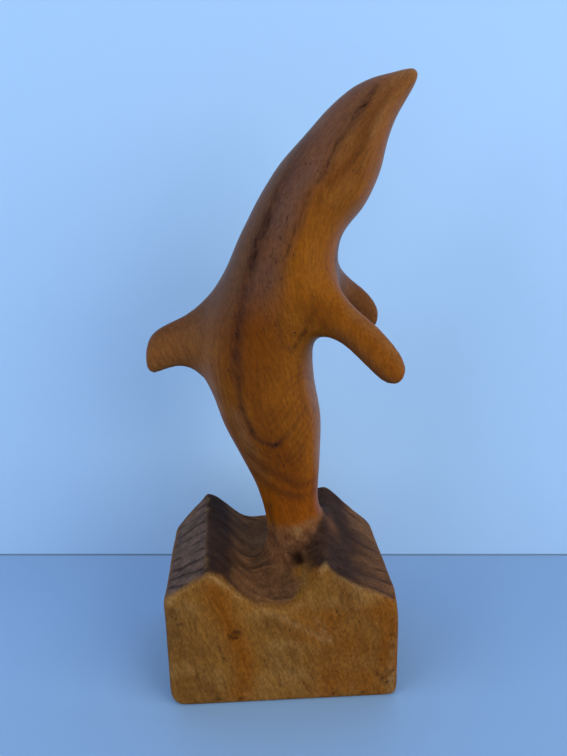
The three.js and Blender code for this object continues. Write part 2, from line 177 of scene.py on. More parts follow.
# The carving, in millimetres save the voxel: the solid evened out, then cut and worn.
# The pith is the middle of the log, behind the carving, and leans with the grain.
carved = {
    "voxel": 0.00108,
    "evenPasses": 42,
    "blockShare": 0.3,  # shares of the evening out that a part gets
    "crestShare": 0.08,
    "beakShare": 0.15,
    "finShare": 0.3,
    "scoopPasses": 60,  # the trough in front of the tail is evened out once more
    "crestReach": 6.5,
    "leftCrest": [(-37.9, -40.5, 71.3), (-41.9, 40.5, 78.3)],
    "beakEnd": (62.0, -9.0, 298.0),
    "collarHeight": 79.0,  # where the polish begins
    "collarFade": 6.0,
    "pith": (1.5, 152.7),
    "pithLean": (-0.35, -0.013),
    "pithHeight": 150.0,
    "turnHeight": 190.0,  # above it the grain turns with the head
    "turnRate": 6.5,
    "ringWidth": 6.0,
    "ringWaver": 0.7,
    "bandWidth": 9.2,  # spacing of the streaks on the slopes
    "thinBandWidth": 3.1,
    "sideBandWidth": 7.8,
    "veinRadius": 173.1,
    "veinPath": [(12.2, -13.7, 269.5), (7.7, -16.2, 262.2), (3.4, -17.9, 255.1), (-1.2, -19.0, 246.5),
                 (-6.9, -19.4, 235.3), (-10.6, -20.2, 225.2), (-13.9, -21.0, 214.2), (-16.7, -21.3, 203.0),
                 (-19.7, -21.4, 189.4), (-21.8, -20.8, 175.3), (-21.5, -20.1, 163.2), (-20.3, -18.9, 150.7),
                 (-17.6, -18.1, 140.4), (-13.3, -18.0, 131.7), (-9.0, -19.0, 128.8), (-4.6, -19.7, 127.4),
                 (-1.2, -20.6, 129.2), (3.6, -21.4, 134.9), (7.5, -20.5, 140.6), (11.2, -17.0, 147.1)],
    "softBands": [
        [(-20.0, -6.0, 126.0), (-15.9, -13.3, 120.7), (-10.0, -15.3, 115.5), (-3.5, -16.8, 112.2),
         (2.9, -17.3, 108.5), (9.0, -16.7, 105.4), (15.0, -12.0, 106.0)],
        [(-15.0, -5.0, 112.0), (-11.9, -11.7, 109.3), (-6.9, -13.3, 104.4), (-0.9, -14.9, 101.2),
         (9.2, -15.6, 98.5), (16.0, -10.0, 100.0)],
    ],
    "veinEnd": (10.0, -17.8, 144.5),
    "veinBend": (-13.0, -19.0, 134.3),
    "arcSpacing": 3.3,
    "grooveDepth": 0.10,
    "gougeDepth": 0.28,
    "edgeWander": 0.45,
    "bodyWave": 0.13,
    "cheekRise": 0.9,
    "cornerWear": 2.6,
    "slitDepth": 0.4,
    "browRise": 0.9,
    "foldDepth": 0.9,
    "fanDepth": 0.5,
    # path of a painted sheen on the left flank
    "flankSheen": [(-22.4, -15.9, 142.4), (-18.2, -14.8, 129.2), (-14.9, -13.4, 119.2),
                  (-9.9, -12.7, 108.1)],
    "knot": {"middle": (7.6, -18.2, 66.2), "reach": 2.7, "depth": 2.6},
    "knotBrow": [(2.6, -14.1, 70.3), (4.5, -14.4, 71.8), (8.2, -15.6, 72.4), (12.7, -18.6, 71.6)],
    "knotFold": [(3.3, -16.0, 67.5), (7.0, -18.8, 64.6), (11.5, -21.5, 66.0)],
    "underKnot": (8.0, -23.0, 61.6),
    "palePatch": (8.6, -14.4, 79.4),
    "frontCorner": (56.5, -40.5, 56.5),
    "dirtySide": (-54.0, -40.0, 43.3),
    "shadedSlope": (41.0, 0.0, 66.0),
    "orangeSpot": (30.0, -40.0, 26.0),
    "eyeKnot": {"middle": (-24.4, -40.5, 39.0), "reach": 1.8, "depth": 0.6},
    "slit": [(-6.9, -9.7, 91.8), (-5.8, -9.3, 86.0), (-4.3, -9.5, 77.5), (-3.4, -10.7, 69.6)],
    "heartEdge": [(41.9, -15.9, 291.1), (30.6, -21.9, 275.0), (23.5, -23.3, 265.7), (18.2, -25.4, 253.8),
                  (12.1, -25.7, 246.3), (8.6, -26.1, 237.9), (3.4, -26.2, 225.1), (0.7, -26.5, 216.5),
                  (-1.5, -26.5, 202.0), (-1.0, -26.0, 190.0)],
    "smallU": [(-2.9, -26.4, 189.8), (0.0, -24.2, 178.0), (4.3, -22.2, 174.3), (8.0, -23.2, 180.1),
               (14.3, -27.4, 194.3)],
    "goldPatch": (4.2, -26.3, 188.5),
    "lowerGold": (-4.0, -22.0, 151.4),
    "cheek": [(59.1, -12.6, 297.2), (55.1, -14.8, 292.5), (51.2, -16.6, 288.7), (45.7, -19.6, 282.2),
              (41.5, -22.2, 275.5), (38.6, -23.9, 269.4), (37.4, -24.8, 261.1), (34.0, -25.5, 254.0)],
    # path of the painted shade beside the cheek's ridge
    "creaseShade": [(59.1, -12.1, 292.8), (49.8, -17.5, 285.1), (42.4, -21.6, 277.3), (39.9, -23.3, 271.5),
               (36.9, -25.1, 262.5), (30.2, -26.4, 254.8), (23.7, -26.9, 248.5)],
    "darkFans": [
        [(15.0, -23.3, 71.2), (28.5, -25.4, 69.7), (44.4, -17.1, 62.0)],
        [(14.1, -19.5, 72.2), (26.4, -21.4, 72.1), (43.9, -5.3, 63.2)],
        [(14.3, -29.8, 69.1), (26.9, -35.6, 69.1), (47.0, -24.7, 60.3)],
        [(-35.0, -30.0, 68.0), (-26.0, -26.0, 60.0), (-16.0, -32.0, 52.0)],
        [(-37.5, -12.0, 71.0), (-28.0, -6.0, 67.5), (-19.0, -14.0, 58.0)],
        [(-38.0, 12.0, 73.0), (-30.0, 12.0, 71.0), (-20.0, 8.0, 62.0)],
    ],
    "paleSeams": [
        [(-36.0, -39.5, 70.6), (-25.8, -38.5, 63.0), (-16.9, -39.0, 55.6), (-7.8, -40.4, 50.2),
         (-0.1, -40.5, 46.0), (8.1, -40.5, 42.2), (13.1, -40.5, 38.3), (18.8, -40.5, 34.1)],
        [(-9.0, -40.4, 51.0), (2.3, -40.3, 50.6), (8.0, -40.4, 53.5)],
        [(16.1, -38.5, 71.0), (26.3, -40.2, 67.3), (36.1, -40.3, 62.2), (53.8, -39.2, 57.2)],
        [(10.5, -30.0, 63.3), (11.9, -40.0, 56.3), (15.9, -40.5, 45.3), (22.0, -40.5, 33.9)],
    ],
    "orangeRun": [(-33.5, -40.5, 62.0), (-29.0, -40.5, 48.0), (-24.4, -40.5, 39.0), (-20.0, -40.5, 24.0),
                  (-21.0, -40.5, 4.0)],
    "wornStrip": [(53.3, -40.2, 4.0), (54.0, -40.2, 18.0), (53.6, -40.2, 31.0)],
    "pits": [  # place, reach and depth
        ((46.0, -40.5, 13.0), 1.2, 0.6), ((49.0, -40.5, 10.5), 1.4, 0.7), ((51.4, -40.5, 7.8), 1.2, 0.8),
        ((53.2, -40.5, 14.1), 1.1, 0.7), ((52.5, -40.0, 35.0), 1.2, 0.7), ((53.0, -40.0, 29.0), 1.0, 0.6),
        ((-52.7, -40.5, 48.5), 1.3, 0.5), ((-50.5, -40.5, 45.7), 1.1, 0.4), ((-53.9, -40.5, 53.9), 1.1, 0.4),
        ((-33.4, -40.2, 2.8), 1.2, 0.8), ((-22.1, -40.2, 2.3), 1.3, 0.9), ((-36.0, -40.4, 7.5), 0.9, 0.5),
        ((24.2, -40.2, 2.6), 1.2, 0.8), ((39.4, -40.2, 2.6), 1.2, 0.8), ((-39.0, -36.0, 71.0), 1.6, 0.8),
        ((-1.0, -24.0, 55.6), 0.8, 0.5), ((7.7, -34.5, 58.0), 0.8, 0.5), ((13.3, -15.2, 105.8), 0.7, 0.3),
    ],
}

deselectAll()
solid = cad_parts["dolphin_carving"]
carving = bpy.data.objects.new("carved_dolphin", solid.data.copy())
bpy.context.scene.collection.objects.link(carving)
makeActive(carving)
bpy.ops.object.mode_set(mode="EDIT")
bpy.ops.mesh.select_all(action="SELECT")
bpy.ops.mesh.remove_doubles(threshold=0.00001)
bpy.ops.object.mode_set(mode="OBJECT")
remesh = carving.modifiers.new("Even faces", "REMESH")
remesh.mode = "VOXEL"
remesh.voxel_size = carved["voxel"]
bpy.ops.object.modifier_apply(modifier=remesh.name)
carving.data.materials.clear()

mesh = carving.data
count = len(mesh.vertices)
print("remeshed:", count, "points,", len(mesh.polygons), "faces")


def readPoints():
    flat = np.empty(count * 3, np.float32)
    mesh.vertices.foreach_get("co", flat)
    return flat.reshape(-1, 3).astype(float) * 1000


def writePoints(points):
    mesh.vertices.foreach_set("co", (points / 1000).astype(np.float32).ravel())
    mesh.update()


def readNormals():
    flat = np.empty(count * 3, np.float32)
    mesh.vertex_normals.foreach_get("vector", flat)
    return flat.reshape(-1, 3).astype(float)


flatEdges = np.empty(len(mesh.edges) * 2, np.int32)
mesh.edges.foreach_get("vertices", flatEdges)
edgeA, edgeB = flatEdges[0::2], flatEdges[1::2]
degree = np.bincount(edgeA, minlength=count) + np.bincount(edgeB, minlength=count)
degree = np.maximum(degree, 1).astype(float)


def neighbourMean(values):
    sums = np.bincount(edgeA, values[edgeB], count) + np.bincount(edgeB, values[edgeA], count)
    return sums / degree


def evenOut(values, passes, weight):
    columns = [values] if values.ndim == 1 else list(values.T)
    out = []
    for column in columns:
        for turn in range(passes):
            column = column + 0.5 * weight * (neighbourMean(column) - column)
        out.append(column)
    return out[0] if values.ndim == 1 else np.stack(out, axis=1)


def stepUp(low, high, values):
    share = np.clip((values - low) / (high - low), 0, 1)
    return share * share * (3 - 2 * share)


def stepDown(low, high, values):
    return 1 - stepUp(low, high, values)


def bell(distance, reach):
    return np.exp(-(distance / reach) ** 2)


def strongest(*layers):
    return np.max(layers, axis=0)


def pointDistance(points, place):
    return np.linalg.norm(points - np.array(place), axis=1)


def softSpot(points, place, reach, squash=(1, 1, 1)):
    return bell(pointDistance(points * squash, np.array(place) * squash), reach)


def lineDistance(points, ends):
    start, end = np.array(ends[0]), np.array(ends[1])
    along = end - start
    share = np.clip(((points - start) @ along) / (along @ along), 0, 1)
    return np.linalg.norm(points - start - share[:, None] * along, axis=1)


def pathDistance(points, path):
    return np.min([lineDistance(points, path[i:i + 2]) for i in range(len(path) - 1)], axis=0)


def nearestPath(points, paths):
    return np.min([pathDistance(points, path) for path in paths], axis=0)


def noiseAt(points, scale, seed):
    shift = Vector((seed * 17.3, seed * 5.1, seed * 9.7))
    return np.array([noise.noise(Vector(p) + shift) for p in points / scale])


def patches(points, middle, swing, scale, seed):
    return np.clip(middle + swing * noiseAt(points, scale, seed), 0, 1)


def leanTo(weight, share, near):
    return weight + (share - weight) * near


def ringRadius(points):
    rise = points[:, 2] - carved["pithHeight"]
    acrossX = points[:, 0] - carved["pith"][0] - carved["pithLean"][0] * rise
    acrossY = points[:, 1] - carved["pith"][1] - carved["pithLean"][1] * rise
    return np.hypot(acrossX, acrossY)


# the facets of the solid are evened out, and what that takes off the form is given back
places = readPoints()
x, y, z = places.T
weight = leanTo(carved["blockShare"], 1, stepUp(70, 95, z))
fromCrest = lineDistance(places, carved["leftCrest"])
nearCrest = stepDown(carved["crestReach"] * 0.4, carved["crestReach"], fromCrest)
weight = leanTo(weight, carved["crestShare"], nearCrest)
nearBeak = stepDown(10, 26, pointDistance(places, carved["beakEnd"]))
weight = leanTo(weight, carved["beakShare"], nearBeak)
onFin = np.maximum(stepUp(27, 33, np.abs(y)), stepUp(33, 41, -x))
onFin = np.maximum(onFin, stepUp(4, 14, y) * stepUp(16, 24, x))
onFin = onFin * stepUp(130, 145, z) * stepDown(215, 230, z)
weight = leanTo(weight, carved["finShare"], onFin)
evened = evenOut(places, carved["evenPasses"], weight)
for turn in range(2):
    evened = evened + evenOut(places - evened, carved["evenPasses"], weight)
places = evened
x, y, z = places.T
scooped = stepUp(-26, -10, x) * stepDown(16, 30, x) * stepDown(-37, -24, y)
scooped = scooped * stepUp(40, 48, z) * stepDown(66, 74, z)
places = evenOut(places, carved["scoopPasses"], scooped)
writePoints(places)
print("evened out")

# Masks, one value a point: the polished body, and the bare slopes of the waves with
# the frayed edge where they meet the front.
normals = readNormals()
across, upwards = normals[:, 0], normals[:, 2]
x, y, z = places.T
waver = noiseAt(places, 9.0, 1)
blotch = noiseAt(places, 17.0, 5)
broad = noiseAt(places, 26.0, 9)
fromTail = np.hypot(x - 6, y)
footSpread = 2.5 * np.maximum(fromTail - 14.5, 0) * (z < 95)
polishEdge = z + 2.4 * waver - footSpread - carved["collarHeight"]
polish = stepUp(-carved["collarFade"], carved["collarFade"], polishEdge)
bare = 1 - polish
facingUp = stepUp(0.42, 0.72, upwards + 0.1 * waver)
frayed = 1.6 * noiseAt(places, 4.0, 10) + 1.5 * waver
frayed += 3.2 * stepUp(10, 22, x) - 5.5 * bell(x - 11, 5.0) + 1.5 * stepDown(-42, -34, x)
frontEdge = stepUp(-39.5, -34.0, y + frayed)
slopes = evenOut(facingUp * frontEdge * bare * stepUp(44, 51, z), 2, 1.0)
crestFront, crestBack = carved["leftCrest"]
backShare = (y - crestFront[1]) / (crestBack[1] - crestFront[1])
crestX = crestFront[0] + (crestBack[0] - crestFront[0]) * backShare
leftSlope = stepDown(-1.2, 1.6, x - crestX + 0.5 * waver)
troughLevel = 53 + 10 * backShare
trough = stepDown(3, 12, z - troughLevel + 2.5 * waver) * (1 - leftSlope)
innerDark = bell(x - crestX - 7, 7.5) * (1 - leftSlope)
foot = stepDown(17, 30, fromTail) * stepUp(-38, -31, y + waver) * bare

# the heartwood and its dotted edge
radius = ringRadius(places)
heartPath = np.array(carved["heartEdge"])[::-1]
heartX = np.interp(z, heartPath[:, 2], heartPath[:, 0])
heartLine = pathDistance(places, carved["heartEdge"])
heart = stepUp(171.5, 174.6, radius + 0.6 * waver) * stepDown(-7.0, 5.5, x - heartX + waver) * (y < 5)
heart *= stepUp(184, 216, z) * (1 - 0.45 * stepUp(262, 285, z)) * (0.85 + 0.4 * blotch)
heartDots = bell(heartLine, 1.4 + 1.3 * bell(z - 277, 9)) * (0.55 + 0.45 * stepUp(262, 275, z))

# the dark vein down the side, and the fine arcs that follow it
veinLine = pathDistance(places, carved["veinPath"])
upperVein = stepUp(150, 170, z)
veinReach = 1.5 + 2.3 * upperVein
veinFade = (1 - 0.12 * upperVein) * (1 - 0.4 * stepUp(252, 270, z))
veinFade *= 1 - 0.5 * stepUp(-5, 2, x) * (z < 160)
veinFade += 0.45 * softSpot(places, carved["veinEnd"], 3.5)
veinFade += 0.3 * softSpot(places, carved["veinBend"], 8, squash=(1, 1, 0.7))
veinFade += 0.25 * stepUp(205, 225, z) * (z < 250)
veinFade *= 0.85 + 0.4 * noiseAt(places, 7.0, 16)
arcs = 0.5 + 0.5 * np.cos(2 * np.pi * (veinLine + 0.6 * waver) / carved["arcSpacing"])
arcs *= stepUp(1.5, 4, veinLine) * stepDown(14, 24, veinLine) * (y < 0)
arcs *= stepDown(168, 195, z) * stepUp(84, 96, z) * stepUp(-0.35, 0.25, noiseAt(places, 9.0, 19))

# broad tones of the body, its back, its edges and its fins, with painted sheen on the belly's edge, the left
# flank and the flipper's top, and painted shade on the far flipper, the dorsal's top and the flipper's
# underside
backRings = stepUp(-4, 6, y) * stepDown(240, 270, z)
leftShade = stepDown(170.5, 173.5, radius) * stepUp(165, 205, z) * stepDown(32, 46, x)
belly = evenOut(stepUp(-0.15, 0.75, across + 0.12 * blotch), 4, 1.0)
# painted sheen: a pale pinkish band where the lower body faces right
bellyEdgeSheen = stepUp(0.66, 0.93, across) * stepUp(108, 120, z) * stepDown(160, 178, z) * (y < 12)
# painted shade: the far flipper, the dorsal's top and the flipper's underside are darkened where less light
# falls
farFlipperShade = stepUp(8, 16, y) * stepUp(20, 32, x) * stepUp(150, 165, z) * stepDown(215, 225, z)
dorsalTopShade = stepUp(28, 40, -x) * stepUp(0.0, 0.5, upwards) * (z > 140)
flipperUnderShade = stepUp(0.15, 0.6, normals @ (-0.5, 0, -0.87)) * stepUp(20, 28, x) * (y < -22) * (z > 150)
# painted sheen on the flipper's upward face
flipperTopSheen = stepUp(0.1, 0.6, normals @ (0.5, 0, 0.87)) * stepUp(24, 32, x) * (y < -22) * (z < 205)
flipperSide = stepDown(-32, -24, y) * stepUp(150, 165, z) * stepDown(200, 215, z) * stepUp(20, 30, x)
# painted shade on the fins, together with the heartwood's own darker tone
shadeAndHeartTone = strongest(
    0.85 * farFlipperShade,
    0.75 * heart * stepDown(222, 245, z),
    0.8 * dorsalTopShade,
    0.9 * flipperUnderShade,
)
redTone = flipperSide * (1 - 0.6 * stepUp(0.2, 0.7, upwards))
# painted sheen: paler on the left flank, along the body's far left and on the flipper's top
paleSheen = strongest(
    bell(pathDistance(places, carved["flankSheen"]), 4.5),
    0.7 * stepDown(-36, -26, x) * (z > 140),
    0.8 * flipperTopSheen,
)

# knots, the slit in the tail, dark fans on the slopes and pale seams on the front
knot = carved["knot"]
knotDistance = pointDistance(places, knot["middle"])
browDistance = pathDistance(places, carved["knotBrow"])
foldDistance = pathDistance(places, carved["knotFold"])
eyeKnot = carved["eyeKnot"]
eyeSquash = np.array((0.75, 1, 1))
eyeDistance = pointDistance(places * eyeSquash, np.array(eyeKnot["middle"]) * eyeSquash)
slitDistance = pathDistance(places, carved["slit"])
fanDistance = nearestPath(places, carved["darkFans"])
fans = bell(fanDistance + 0.8 * waver, 2.0) * (0.7 + 0.5 * noiseAt(places, 7.0, 12))
seams = bell(nearestPath(places, carved["paleSeams"]), 1.5) * patches(places, 0.55, 0.9, 5.0, 8)
worn = bell(pathDistance(places, carved["wornStrip"]), 1.6) * patches(places, 0.6, 0.8, 4.0, 13)
seams = np.maximum(seams * bare, worn)
edgeDirt = softSpot(places, carved["dirtySide"], 7, squash=(1, 0.4, 0.6)) * bare
edgeDirt = edgeDirt * (0.75 + 0.6 * noiseAt(places, 4.0, 18))

# relief along the normals: grooves of the bands, gouge marks, knots and pits
bandPhase = (radius + 2.6 * noiseAt(places, 22.0, 2) + 0.8 * waver) / carved["bandWidth"]
bands = stepUp(0.5, 1.0, 0.5 + 0.5 * np.cos(2 * np.pi * bandPhase))
bands *= stepUp(-0.15, 0.25, noiseAt(places, 8.0, 6))
underside = stepUp(1.2, 3.0, z)  # nothing is cut under the foot
relief = -carved["grooveDepth"] * bands * slopes
relief += carved["gougeDepth"] * noiseAt(places, 6.5, 3) * bare * (0.3 + 0.7 * slopes)
relief += carved["edgeWander"] * noiseAt(places, 24.0, 7) * bare
relief += carved["bodyWave"] * noiseAt(places, 15.0, 4) * polish
relief -= knot["depth"] * bell(knotDistance, knot["reach"])
relief += carved["browRise"] * bell(browDistance, 1.6)
relief -= carved["foldDepth"] * bell(foldDistance, 1.2)
relief -= carved["cornerWear"] * softSpot(places, carved["frontCorner"], 7.5)
relief -= carved["fanDepth"] * bell(fanDistance, 1.6) * slopes
relief -= eyeKnot["depth"] * bell(eyeDistance, eyeKnot["reach"])
relief -= carved["slitDepth"] * bell(slitDistance, 1.6)
relief += carved["cheekRise"] * bell(pathDistance(places, carved["cheek"]), 2.6)
pitMask = np.zeros(count)
for place, reach, depth in carved["pits"]:
    spot = softSpot(places, place, reach)
    relief -= depth * spot
    pitMask = np.maximum(pitMask, spot)
places = places + (relief * underside)[:, None] * normals
places = np.clip(places, np.array(cadBox[0]) * 1000, np.array(cadBox[1]) * 1000)
writePoints(places)

# wear sits where a point stands out from what is round it, and the colour darkens where it lies deeper
normals = readNormals()
standsOut = np.sum((places - evenOut(places, 8, 1.0)) * normals, axis=1)
wear = stepUp(0.10, 0.5, standsOut) * bare * (1 - bell(knotDistance, 10))
wear *= patches(places, 0.6, 0.8, 5.0, 14)
# darker in hollows, and on a spot at the block's left end
hollowsAndDirt = np.maximum(stepUp(0.08, 0.5, -standsOut) * bare, edgeDirt)

# broad colours of the front: orange runs, and paler rubbed patches between them
orange = strongest(
    bell(pathDistance(places, carved["orangeRun"]) + 1.5 * waver, 6.5),
    0.85 * stepUp(-0.2, 0.2, broad + 0.3 * blotch) * stepUp(-8, 24, x),
    0.8 * softSpot(places, carved["orangeSpot"], 15, squash=(1, 0.5, 1)),
)
pale = strongest(
    0.7 * stepUp(0.0, 0.4, noiseAt(places * (1, 1, 1.4), 19.0, 15)) * (1 - orange),
    0.4 * bell(z - 4, 7 + 3 * waver) * stepUp(-60, -20, x),
)

# the near black of knots and pits, the brown shade round them, a painted highlight along the cheek's ridge
# and painted shade in the crease beside it
eyeTilt = (x - eyeKnot["middle"][0]) * 0.45 + (z - eyeKnot["middle"][2]) * 0.9
eyeRing = bell(eyeDistance - eyeKnot["reach"], 0.75) * stepUp(0.3, 1.0, np.abs(eyeTilt))
holes = strongest(
    bell(knotDistance, 2.3),
    0.85 * bell(foldDistance + 0.6 * waver, 0.9),
    0.6 * bell(browDistance - 0.4, 1.3) * (0.75 + 0.5 * waver),
    0.85 * eyeRing * np.where(eyeTilt < 0, 1.0, 0.8),
    0.6 * bell(eyeDistance, 0.9),
    0.5 * pitMask,
)
shade = strongest(
    0.5 * bell(slitDistance, 2.4),
    0.8 * bell(knotDistance - 1.5, 3.6),
    0.75 * fans,
    0.85 * softSpot(places, carved["shadedSlope"], 11, squash=(1, 0.7, 1)) * slopes,
)
# painted shade in the crease beside the cheek's ridge
creaseShade = bell(pathDistance(places + (3.0, 0, -1.0), carved["creaseShade"]) + 0.4 * waver, 2.6)
# painted highlight along the cheek's ridge
cheekHighlight = bell(pathDistance(places, carved["cheek"]) + 0.3 * waver, 1.8) * stepUp(262, 272, z)

masks = {
    "polish": polish, "slopes": slopes, "leftSlope": leftSlope, "trough": trough, "innerDark": innerDark,
    "foot": foot, "wear": wear, "hollowsAndDirt": hollowsAndDirt, "holes": holes, "shade": shade, "seams": seams,
    "orange": orange, "pale": pale, "heart": heart, "heartDots": heartDots, "arcs": arcs,
    "backRings": backRings, "leftShade": leftShade, "belly": belly, "bellyEdgeSheen": bellyEdgeSheen,
    "shadeAndHeartTone": shadeAndHeartTone, "redTone": redTone, "paleSheen": paleSheen, "creaseShade": creaseShade,
    "vein": bell(veinLine, veinReach) * veinFade,
    "softBands": bell(nearestPath(places, carved["softBands"]), 2.6),
    "smallU": bell(pathDistance(places, carved["smallU"]), 1.3),
    "goldPatch": strongest(
        softSpot(places, carved["goldPatch"], 8.0),
        0.8 * softSpot(places, carved["lowerGold"], 13.0, squash=(1, 1, 0.7)),
    ),
    # painted highlight at the beak's tip and along the cheek's ridge
    "beakHighlight": strongest(softSpot(places, carved["beakEnd"], 11), 0.9 * cheekHighlight),
    "underKnot": softSpot(places, carved["underKnot"], 3.4),
    "palePatch": softSpot(places, carved["palePatch"], 3.0),
}
for name, values in masks.items():
    attribute = mesh.attributes.new(name, "FLOAT", "POINT")
    attribute.data.foreach_set("value", np.clip(values, 0, 1).astype(np.float32))
makeActive(carving)
bpy.ops.object.shade_smooth()
print("relief cut")


def newGroup(name, inputs, outputs):
    group = bpy.data.node_groups.new(name, "ShaderNodeTree")
    for label, kind, value in inputs:
        socket = group.interface.new_socket(name=label, in_out="INPUT", socket_type=kind)
        if value is not None:
            socket.default_value = value
    for label, kind in outputs:
        group.interface.new_socket(name=label, in_out="OUTPUT", socket_type=kind)
    return group, group.nodes.new("NodeGroupInput"), group.nodes.new("NodeGroupOutput")


# adds nodes to one tree, each call giving the socket that comes out
class Wires:
    def __init__(self, tree):
        self.tree = tree

    def put(self, socket, value):
        if isinstance(value, bpy.types.NodeSocket):
            self.tree.links.new(value, socket)
        elif value is not None:
            socket.default_value = value

    def math(self, kind, a, b=None, c=None):
        node = self.tree.nodes.new("ShaderNodeMath")
        node.operation = kind
        for socket, value in zip(node.inputs, (a, b, c)):
            self.put(socket, value)
        return node.outputs[0]

    def times(self, first, *others):
        for other in others:
            first = self.math("MULTIPLY", first, other)
        return first

    def stretch(self, vector, factors):
        node = self.tree.nodes.new("ShaderNodeVectorMath")
        node.operation = "MULTIPLY"
        self.put(node.inputs[0], vector)
        self.put(node.inputs[1], factors)
        return node.outputs["Vector"]

    def split(self, vector):
        node = self.tree.nodes.new("ShaderNodeSeparateXYZ")
        self.put(node.inputs[0], vector)
        return node.outputs

    def join(self, a, b, c):
        node = self.tree.nodes.new("ShaderNodeCombineXYZ")
        for socket, value in zip(node.inputs, (a, b, c)):
            self.put(socket, value)
        return node.outputs[0]

    def noise(self, vector, scale, detail=2.0, roughness=0.5):
        node = self.tree.nodes.new("ShaderNodeTexNoise")
        self.put(node.inputs["Vector"], vector)
        node.inputs["Scale"].default_value = scale
        node.inputs["Detail"].default_value = detail
        node.inputs["Roughness"].default_value = roughness
        return node.outputs["Fac"]

    def range(self, value, low, high, toLow=0.0, toHigh=1.0):
        node = self.tree.nodes.new("ShaderNodeMapRange")
        node.interpolation_type = "SMOOTHSTEP"
        self.put(node.inputs["Value"], value)
        for label, number in zip(("From Min", "From Max", "To Min", "To Max"), (low, high, toLow, toHigh)):
            self.put(node.inputs[label], number)
        return node.outputs[0]

    def mix(self, share, a, b, kind="MIX"):
        node = self.tree.nodes.new("ShaderNodeMix")
        node.data_type = "RGBA"
        node.blend_type = kind
        self.put(node.inputs["Factor"], share)
        self.put(node.inputs[6], a)
        self.put(node.inputs[7], b)
        return node.outputs[2]

    def mask(self, name):
        node = self.tree.nodes.new("ShaderNodeAttribute")
        node.attribute_name = name
        return node.outputs["Fac"]


# growth rings round the pith, in metres, and places turned so that z runs with the grain
ringGroup, ringIn, ringOut = newGroup(
    "growthRings",
    [("Vector", "NodeSocketVector", None), ("Ring Width", "NodeSocketFloat", 0.006),
     ("Waver", "NodeSocketFloat", 0.001)],
    [("Radius", "NodeSocketFloat"), ("Late Wood", "NodeSocketFloat"), ("Grain", "NodeSocketVector")],
)
w = Wires(ringGroup)
px, py, pz = w.split(ringIn.outputs["Vector"])[:3]
rise = w.math("SUBTRACT", pz, carved["pithHeight"] / 1000)
fromPithX = w.math("SUBTRACT", px, carved["pith"][0] / 1000)
fromPithY = w.math("SUBTRACT", py, carved["pith"][1] / 1000)
acrossX = w.math("MULTIPLY_ADD", rise, -carved["pithLean"][0], fromPithX)
acrossY = w.math("MULTIPLY_ADD", rise, -carved["pithLean"][1], fromPithY)
grain = w.join(acrossX, acrossY, pz)
higher = w.math("MAXIMUM", w.math("SUBTRACT", pz, carved["turnHeight"] / 1000), 0.0)
turnedX = w.math("MULTIPLY_ADD", w.times(higher, higher), -carved["turnRate"], acrossX)
turnedGrain = w.join(turnedX, acrossY, pz)
sway = w.math("SUBTRACT", w.noise(w.stretch(grain, (1, 1, 0.35)), 45.0, 2.0), 0.5)
fine = w.math("SUBTRACT", w.noise(w.stretch(grain, (1, 1, 0.35)), 260.0, 2.0), 0.5)
ringAt = w.math("SQRT", w.math("ADD", w.times(acrossX, acrossX), w.times(acrossY, acrossY)))
ringAt = w.math("MULTIPLY_ADD", sway, w.times(ringIn.outputs["Waver"], 2.0), ringAt)
ringAt = w.math("MULTIPLY_ADD", fine, 0.0006, ringAt)
fromVein = w.math("SUBTRACT", ringAt, carved["veinRadius"] / 1000)
share = w.math("FRACT", w.math("DIVIDE", fromVein, ringIn.outputs["Ring Width"]))
late = w.times(w.range(share, 0.45, 0.93), w.range(share, 0.93, 1.0, 1.0, 0.0))
w.put(ringOut.inputs["Radius"], ringAt)
w.put(ringOut.inputs["Late Wood"], late)
w.put(ringOut.inputs["Grain"], turnedGrain)

# short dark pores and pale fibres that run with the grain
poreGroup, poreIn, poreOut = newGroup(
    "woodPores",
    [("Grain", "NodeSocketVector", None), ("Amount", "NodeSocketFloat", 0.5)],
    [("Pores", "NodeSocketFloat"), ("Fibres", "NodeSocketFloat")],
)
w = Wires(poreGroup)
spots = w.noise(w.stretch(poreIn.outputs["Grain"], (1, 1, 0.25)), 1250.0, 1.0, 0.4)
threshold = w.math("MULTIPLY_ADD", poreIn.outputs["Amount"], -0.2, 0.72)
w.put(poreOut.inputs["Pores"], w.range(spots, threshold, w.math("ADD", threshold, 0.08)))
fibres = w.noise(w.stretch(poreIn.outputs["Grain"], (1, 1, 0.16)), 850.0, 5.0, 0.7)
w.put(poreOut.inputs["Fibres"], fibres)

